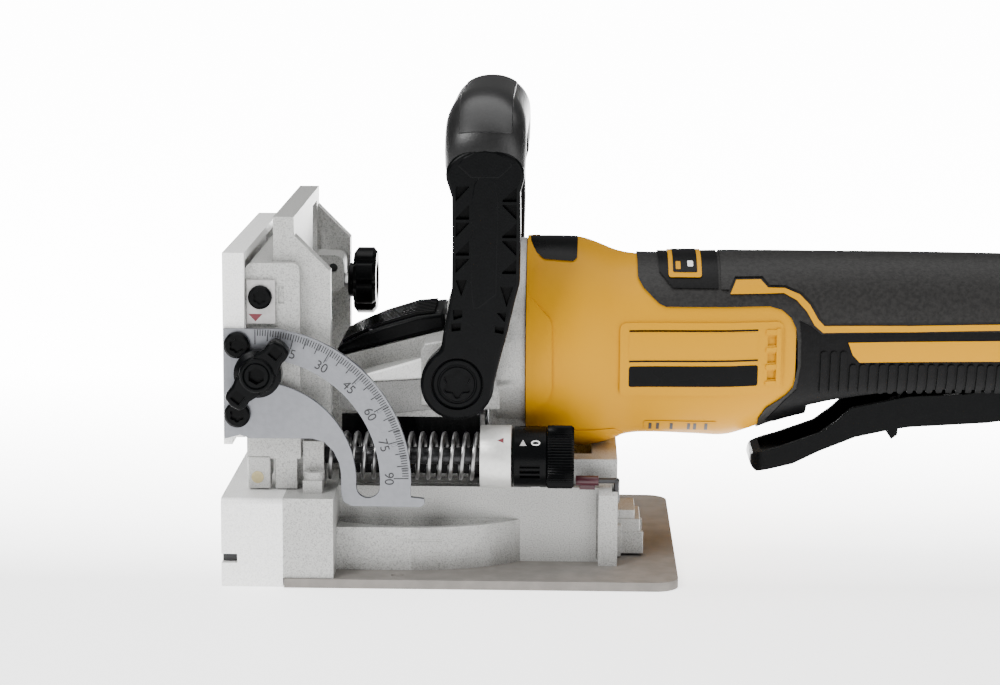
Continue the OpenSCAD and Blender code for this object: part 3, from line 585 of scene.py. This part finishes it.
# truss windows along both edges, every second one leaning the other way, then the odd ones near the pivot
windows = []
for k in range(5):
    z = WINDOW_FIRST + WINDOW_PITCH * k
    if k % 2 == 0:
        windows += [[(80.2, z), (84.8, z + 4.9), (84.8, z + 5.2), (80.2, z + 5.2)],
                    [(96.2, z), (101.0, z), (101.0, z + 5.0), (96.2, z + 0.6)]]
    else:
        windows += [[(80.2, z), (84.8, z), (84.8, z + 5.2), (80.2, z + 0.5)],
                    [(96.2, z + 4.8), (101.0, z), (101.0, z + 5.2), (96.2, z + 5.2)]]
windows += [[(80.2, 106.2), (84.2, 106.2), (82.2, 100.4)],
            [(79.2, 95.8), (82.6, 95.8), (82.6, 93.2), (79.6, 92.2)],
            [(78.8, 90.9), (82.2, 91.4), (82, 88.6), (78.9, 88.2)],
            [(95.6, 103.8), (100, 103.8), (97.8, 96.8)],
            [(94.4, 94.8), (97.8, 95), (97.2, 91.6)],
            [(93.8, 90.2), (97, 89.8), (96.8, 87.4), (93.8, 88)]]
arms = []
for s, _ in SIDES:
    ya, yb = span(s, 47.0, 56.9)
    arm = prism("arm", ARM, ya, yb)
    bevel(arm, 1.2, 3, 30)
    cut(arm, lathe("hub", HUB, (PIVOT_X, ya, PIVOT_Z), "Y", BLACK, 72), "UNION")
    cut(arm, [prism("t", window, *span(s, 53.6, 60)) for window in windows])
    cut(arm, lathe("t", [(SCREW_SINK, 0), (SCREW_SINK, 3)], (PIVOT_X, 54.9 if s > 0 else -57.9, PIVOT_Z), "Y"))
    cut(arm, lathe("t", [(SCREW_BORE, -20), (SCREW_BORE, 20)], (PIVOT_X, s * 52, PIVOT_Z), "Y"))
    flare = bevel(prism("flare", FLARE, *span(s, 55, 57.1)), 0.5, 2, 30)
    spine = bevel(prism("spine", SPINE, *span(s, 54, 57)), 0.7, 3, 30)
    arms += [arm, flare, spine]
put(join("loop_frame", arms), "front_handle", "loop_handle")

# hub rings and star recess of the pivot screws
PIVOT_HEAD = [(8.6, 0), (8.6, 1.3), (8.0, 1.9), (6.9, 1.9), (6.6, 1.4), (6.2, 1.4), (5.9, 1.9), (0.3, 1.9)]
PIVOT_FACE = 55.05
for s, side in SIDES:
    head = lathe(f"pivot_head_{side}", PIVOT_HEAD, (PIVOT_X, 0, PIVOT_Z), "Y")
    if s < 0:
        mirror_to(head, -PIVOT_FACE)
    else:
        head.data.transform(Matrix.Translation((0, PIVOT_FACE * MM, 0)))
    star = lathe("t", [(4.4, -1.3 if s > 0 else -3), (4.4, 3 if s > 0 else 1.3)], (PIVOT_X, s * 57, PIVOT_Z), "Y",
                 BLACK, 60, lambda a, r: r + 0.7 * math.cos(6 * a))
    cut(head, star)
    put(head, "head", *(["pivot_screws"] if s < 0 else []))


# ---------------------------------------------------------------- return spring and depth stop
def tube_along(name, pts, r, mat, n=10):
    """Round wire through the points."""
    bm = bmesh.new()
    rings = []
    for i, p in enumerate(pts):
        d = (pts[min(i + 1, len(pts) - 1)] - pts[max(i - 1, 0)]).normalized()
        a = d.cross(Vector((1, 0, 0))).normalized()
        b = d.cross(a)
        rings.append([bm.verts.new((p + (a * math.cos(2 * math.pi * j / n)
                                         + b * math.sin(2 * math.pi * j / n)) * r) * MM)
                      for j in range(n)])
    return loft(name, bm, rings, mat)


COILS, COIL_R, WIRE_R, COIL_START, COIL_END = 14, 7.8, 0.8, 35.0, 88.4
steps = COILS * 28
wire = []
for i in range(steps + 1):
    t = i / steps
    a = -2 * math.pi * COILS * t
    wire.append(Vector((COIL_START + (COIL_END - COIL_START) * t, ROD_Y + COIL_R * math.cos(a),
                        ROD_Z + COIL_R * math.sin(a))))
spring = tube_along("return_coil", wire, WIRE_R, SPRING)
put(spring, "base", "return_spring")
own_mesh(spring)

# turret: smooth part with three groups of flutes, then the knurled part
SMOOTH_X, KNURL_X, ROD_BORE = 99.9, 112.1, 3.5
FLUTES = (75, 198.5, 311.5)
knob = lathe("depth_smooth", [(9.8, 0), (10.7, 0.8), (10.7, 11.8), (10.3, 12.1)], (SMOOTH_X, ROD_Y, ROD_Z), "X",
             BLACK, 144)
grooves = []
for centre in FLUTES:
    for lean in (-11, 0, 11):
        tool = block("t", 102.6, 109.6, -0.65, 0.65, 9.7, 12)
        round_rod(tool, centre + lean - 90)
        grooves.append(tool)
cut(knob, grooves)
cut(knob, lathe("t", [(ROD_BORE, -2), (ROD_BORE, 20)], (SMOOTH_X, ROD_Y, ROD_Z), "X"))
knurl = lathe("depth_knurl", [(10.6, 0), (11.05, 0.5), (11.05, 8.6), (10.2, 9.4)], (KNURL_X, ROD_Y, ROD_Z), "X",
              BLACK, 396, lambda a, r: r - 0.26 * (1 - math.cos(66 * a)))
cut(knurl, lathe("t", [(ROD_BORE, -2), (ROD_BORE, 20)], (KNURL_X, ROD_Y, ROD_Z), "X"))
put(join("depth_turret", [knob, knurl]), "depth_stop", "depth_knob")
for i, (word, degrees) in enumerate([("0", 38), ("M", -75), ("20", 172)]):
    mark = text(f"depth_mark_{i}", word, (0, 0, 0), 4.4, 90, WHITE)
    mark.data.transform(Matrix.Translation(Vector((108.3, -10.72, 0)) * MM))
    tri = prism("t", [(102.6, -1.1), (104.9, -1.1), (103.75, 1.2)], -10.78, -10.5, GREY_PLATE)
    both = join(f"depth_mark_{i}", [mark, tri])
    round_rod(both, -degrees)
    put(both, "depth_stop")
tri = prism("collar_mark", [(94.7, 0), (97.0, 1.0), (97.0, -1.0)], -11.06, -10.7, MARK_RED)
round_rod(tri, -42)
put(tri, "head")

# ---------------------------------------------------------------- base and carrier details
put(prism("pointer_mark", [(8.7, 93.5), (13.6, 93.5), (11.15, 90.9)], -55.28, -55.0, MARK_RED), "fence_carrier")
# squared lugs round the hinge pins, and painted shade on the floors of the kerf notches
for s, side in SIDES:
    lug = block(f"pin_lug_{side}", 8.0, 15.8, *span(s, 49.4, 54.4), 31.7, 43.0, CAST)
    put(bevel(lug, 0.5, 2, 40), "fence_carrier")
    put(block(f"notch_shade_{side}", 0.4, 5.3, *span(s, 64.2, 65.4), 8.6, 11.4, INK), "base")
# painted shade on the floor of the small hole in the far cheek pad, and the bead along the blade guard
put(prism("pad_hole_shade", arc(31.2, 98.3, 1.55, 0, 345, 24), 27.8, 28.2, INK), "base")
bead = prism("guard_bead", arc(GUARD_X, 0, 55.35, 242, 281, 24) + arc(GUARD_X, 0, 54.6, 281, 242, 24),
             13.5, 14.3, CAST, "Z")
put(bevel(bead, 0.2, 2, 50), "base")
# dark sheets either side of the return spring: painted shade in the gap under the gear case
for s, side in SIDES:
    put(block(f"spring_shade_sheet_{side}", 38.8, 88.0, *span(s, 28.05, 29.4), 32.4, 53.8), "head")

# ---------------------------------------------------------------- height knob and tilt clamp
KNOB_R = 12.4
LOBED = [(10.6, 0), (KNOB_R, 1.4), (KNOB_R, 7.2), (10.8, 8.5), (7.0, 8.5), (6.6, 7.6), (0.4, 7.6)]
lobed = lathe("height_lobed", LOBED, (38.8, PINION_Y, PINION_Z), "X", BLACK, 160,
              lambda a, r: r - (1.5 * max(0.0, math.cos(8 * a)) ** 3 if r > 9 else 0))
neck = lathe("neck", [(5.6, 0), (6.4, 0.6), (6.4, 2.4)], (36.6, PINION_Y, PINION_Z), "X", BLACK, 48)
put(join("height_lobed", [lobed, neck]), "height_drive", "height_knob")

WING_HUB = [(6.4, 0), (6.4, 3.0), (8.2, 3.4), (8.2, 8.2), (6.4, 9.4), (5.9, 11.9), (5.3, 12.4), (4.7, 12.4),
            (4.4, 11.9), (4.0, 12.2), (0.3, 12.2)]
LOBE = [(4, 5.4), (8.6, 3.9), (11.2, 4.2), (13.2, 3.3), (14.0, 0), (13.2, -3.3), (11.2, -4.2), (8.6, -3.9),
        (4, -5.4)]
LOBE_HOLLOW = [(8.2, 1.9), (12.0, 1.9), (12.0, -1.9), (8.2, -1.9)]
WING_FACE = -60.1
wing = lathe("wing", WING_HUB, (STUD_X, 0, STUD_Z), "Y")
lobes = []
for degrees in (50, 230):
    lobe = prism("lobe", polar(STUD_X, STUD_Z, degrees, LOBE), 3.6, 11.4)
    bevel(lobe, 0.9, 3, 25)
    cut(lobe, prism("t", polar(STUD_X, STUD_Z, degrees, LOBE_HOLLOW), 9.6, 14))
    lobes.append(lobe)
cut(wing, lathe("t", [(3.1, -20), (3.1, 6.2)], (STUD_X, 0, STUD_Z), "Y"))
cut(wing, lathe("t", [(3.0, 9.4), (3.0, 20)], (STUD_X, 0, STUD_Z), "Y", BLACK, 6))
wing = join("wing_lever", [wing] + lobes)
mirror_to(wing, WING_FACE)
put(wing, "tilt_clamp", "wing_knob")


# ---------------------------------------------------------------- screws and marks of the quadrant
def cap_head(name, x, z, y_face, r, body, nodes=(), h=2.6):
    """Round screw head with a six-lobed socket, facing -Y."""
    profile = [(r, 0), (r, h - 0.7), (r - 0.7, h), (r * 0.52, h), (r * 0.5, 0.9), (0.2, 0.9)]
    ob = lathe(name, profile, (x, 0, z), "Y", BLACK, 48,
               lambda a, q: q + (0.28 * math.cos(6 * a) if 1 < q < r * 0.6 else 0))
    mirror_to(ob, y_face)
    put(ob, body, *nodes)


PLATE_FACE = -59.6
cap_head("quad_screw_low", 5.2, 59.2, PLATE_FACE, 4.5, "fence_body", ["quadrant_screws"])
cap_head("quad_screw_top", 5.2, 83.4, PLATE_FACE, 4.5, "fence_body")
cap_head("pointer_cap", 12.8, 99.4, -55.2, 4.1, "fence_carrier", ["pointer_screw"], 1.9)

# the scale runs down from ZERO_AT, a little under one degree of arc to each degree marked
ZERO_AT, DEGREE = 89.9, 0.985
TICK_END, TICK_HALF = QUAD_R - 0.8, 0.16
NUMBER_R, NUMBER_FACE = QUAD_R - 7.7, -59.56
for k in range(1, 7):
    a = ZERO_AT - DEGREE * 15 * k
    x, z = polar(QUAD_X, QUAD_Z, a, [(NUMBER_R, 0)])[0]
    put(text(f"quad_num_{15 * k}", str(15 * k), (x, NUMBER_FACE, z), 4.6, a - 90, INK), "fence_body")
ticks = []
for k in range(91):
    length = 5.2 if k % 15 == 0 else (3.8 if k % 5 == 0 else 2.2)
    start = TICK_END - length
    bar = [(start, -TICK_HALF), (TICK_END, -TICK_HALF), (TICK_END, TICK_HALF), (start, TICK_HALF)]
    ticks.append(prism("tick", polar(QUAD_X, QUAD_Z, ZERO_AT - DEGREE * k, bar), -59.62, -59.4, INK))
put(join("quad_ticks", ticks), "fence_body")

# ---------------------------------------------------------------- gear case relief, painted light on the ledge and painted shade below it
LEDGE = [(38.6, 64.4), (49.9, 66.8), (66.8, 68.0), (74.5, 68.8), (74.5, 76.9), (66.8, 74.9), (59.8, 72.7),
         (49.9, 69.8), (38.6, 66.6)]
CASE_LOW = [(38.4, 57.4), (38.4, 64.2), (49.9, 66.4), (66.8, 67.6), (74.5, 68.4), (74.5, 57.0), (53.0, 54.6),
            (48.2, 54.6)]
CASE_FACE = -33.8
BOSS = [(67.2, 58.2), (67.2, 78.2), (68.6, 80.6), (75, 81.6), (88, 84), (88, 58.2)]
# painted light on the ledge, painted shade on the low part below it
put(bevel(prism("case_ledge_lit", LEDGE, -36.3, CASE_FACE, CAST_PAINTED_LIT), 0.5, 2, 30), "head")
put(bevel(prism("case_low_shaded", CASE_LOW, -35.3, CASE_FACE, CAST_PAINTED_SHADE), 0.3, 2, 30), "head")
put(bevel(prism("case_boss", BOSS, -36.6, -18, CAST), 0.7, 2, 30), "head")

# ---------------------------------------------------------------- paddle
PADDLE = (arc(189.4, 34.4, 4.1, 245, 135, 8)
          + [(196, 40), (210, 45.1), (216.3, 49.8), (221.3, 54.5), (242, 59), (262, 60), (284, 64), (290, 65.5),
             (294, 61), (290, 52.5), (270, 49.6), (242.4, 47.8), (235.7, 46.8), (222.9, 43.9), (210, 38.6),
             (200.6, 33.9)])
PADDLE_INSIDE = [(188.4, 44), (189.6, 36.2), (200, 37.6), (210, 41.4), (222.9, 46.6), (235.7, 49.5),
                 (242.4, 50.6), (270, 52.4), (280, 54), (280, 66), (242, 66), (221.3, 58), (210, 50), (196, 46)]


def nose_tool(name, x, y, r, half_y):
    """Upright tool whose plan is rounded at the paddle's nose, with arc centres at x and both y."""
    plan = ([(x - r, -y)] + arc(x, -y, r, 180, 270, 8) + [(300, -half_y), (300, half_y)]
            + arc(x, y, r, 90, 180, 8))
    return prism(name, plan, 0, 100, BLACK, "Z")


paddle = prism("paddle_shell", PADDLE, -14, 14)
cut(paddle, nose_tool("t", 193, 6, 8, 14), "INTERSECT")
hollow = prism("t", PADDLE_INSIDE, -11.5, 11.5)
cut(hollow, nose_tool("t2", 194, 5, 6.4, 11.4), "INTERSECT")
cut(paddle, hollow)
cut(paddle, [lathe("t", [(2.56, -15), (2.56, 15)], (290, 0, 61), "Y"), block("t", 230, 245, -3.4, 3.4, 40, 54)])
bevel(paddle, 0.5, 2, 40)
put(paddle, "paddle", "switch_paddle")

SCREW = [(2.4, 0), (2.4, 1.6), (1.4, 1.7), (1.3, 0.6), (0.3, 0.6)]
SCREWS_AT = [(230, -17.9, 98), (275, -17.9, 98), (320, -32.6, 98), (320, -32.6, 50)]
screws = [lathe(f"screw_{k}", SCREW, at, "Y", DARK, 24) for k, at in enumerate(SCREWS_AT)]
put(join("screw_heads", screws), "head", "housing_screws")

# ---------------------------------------------------------------- gear cover
COVER = [(36.2, 72.6), (36.2, 75.8), (40, 77.9), (46, 80.8), (52.2, 83.4), (65, 87.2), (74.8, 88.5), (75.2, 82.6)]
COVER_RIB = [(38, 76.6), (42, 78.8), (52, 83.2), (64, 87.0), (71, 88.2), (71, 89.0), (64, 88.3), (52, 84.5),
             (42, 80.2), (38, 77.9)]
cover = [bevel(prism("cover", COVER, -18, 18), 1.4, 3, 30)]
for k in range(9):
    y = 3.5 * k - 14
    cover.append(prism("rib", COVER_RIB, y - 0.9, y + 0.9))
put(join("cover_ribbed", cover), "head", "gear_cover")

# ---------------------------------------------------------------- stage, light and camera, in metres
GLOW_NEAR, GLOW_FAR = 1.9, 14.0
GLOW_FROM, GLOW_TO = -0.06, 0.34  # Y range over which the floor's glow grows
WORLD_LIGHT = 0.14
LIGHTS = [("overhead", (0.2, 0.1, 1.5), (0.18, 0, 0.05), (2.0, 1.6), 32),
          ("key", (-0.6, -0.9, 1.0), (0.12, 0, 0.08), (0.5, 0.5), 17),
          ("fill", (0.9, -1.1, 0.5), (0.15, 0, 0.08), (0.6, 0.9), 6)]
EYE = (0.117979, -0.9927292, 0.2424839)
YAW, PITCH, ROLL = 0.0239, 0.1671, 0.0055
LENS, SENSOR = 99.32, 36

floor_me = bpy.data.meshes.new("floor")
floor_me.from_pydata([(-6, -3, 0), (6, -3, 0), (6, 9, 0), (-6, 9, 0)], [], [(0, 1, 2, 3)])
floor = bpy.data.objects.new("floor", floor_me)
bpy.context.collection.objects.link(floor)
fm = bpy.data.materials.new("floor")
fm.use_nodes = True
fn = fm.node_tree
fp = fn.nodes["Principled BSDF"]
fp.inputs["Base Color"].default_value = (0.95, 0.95, 0.95, 1)
fp.inputs["Roughness"].default_value = 0.6
fp.inputs["Emission Color"].default_value = (1, 1, 1, 1)
# the backdrop glows behind the tool, so contact shadows stay in front
where = fn.nodes.new("ShaderNodeTexCoord")
split = fn.nodes.new("ShaderNodeSeparateXYZ")
glow = fn.nodes.new("ShaderNodeMapRange")
glow.inputs["From Min"].default_value = GLOW_FROM
glow.inputs["From Max"].default_value = GLOW_TO
glow.inputs["To Min"].default_value = GLOW_NEAR
glow.inputs["To Max"].default_value = GLOW_FAR
fn.links.new(where.outputs["Object"], split.inputs[0])
fn.links.new(split.outputs["Y"], glow.inputs["Value"])
fn.links.new(glow.outputs["Result"], fp.inputs["Emission Strength"])
floor_me.materials.append(fm)

world = bpy.data.worlds.new("world")
bpy.context.scene.world = world
world.use_nodes = True
world.node_tree.nodes["Background"].inputs["Color"].default_value = (1, 1, 1, 1)
world.node_tree.nodes["Background"].inputs["Strength"].default_value = WORLD_LIGHT


def area(name, loc, target, size, power):
    """Rectangular light at loc, aimed at target."""
    li = bpy.data.lights.new(name, "AREA")
    li.energy = power
    li.shape = "RECTANGLE"
    li.size = size[0]
    li.size_y = size[1]
    ob = bpy.data.objects.new(name, li)
    bpy.context.collection.objects.link(ob)
    ob.location = loc
    ob.rotation_euler = (Vector(target) - Vector(loc)).to_track_quat("-Z", "Y").to_euler()


for light in LIGHTS:
    area(*light)

cam = bpy.data.objects.new("camera", bpy.data.cameras.new("camera"))
bpy.context.collection.objects.link(cam)
cam.data.sensor_width = SENSOR
cam.data.lens = LENS
ahead = Vector((-math.sin(YAW) * math.cos(PITCH), math.cos(YAW) * math.cos(PITCH), -math.sin(PITCH)))
level = Vector((math.cos(YAW), math.sin(YAW), 0))
above = level.cross(ahead)
right = level * math.cos(ROLL) + above * math.sin(ROLL)
up = above * math.cos(ROLL) - level * math.sin(ROLL)
rot = Matrix((right, up, -ahead)).transposed()
cam.matrix_world = Matrix.Translation(EYE) @ rot.to_4x4()
cam.data.clip_end = 50
bpy.context.scene.camera = cam
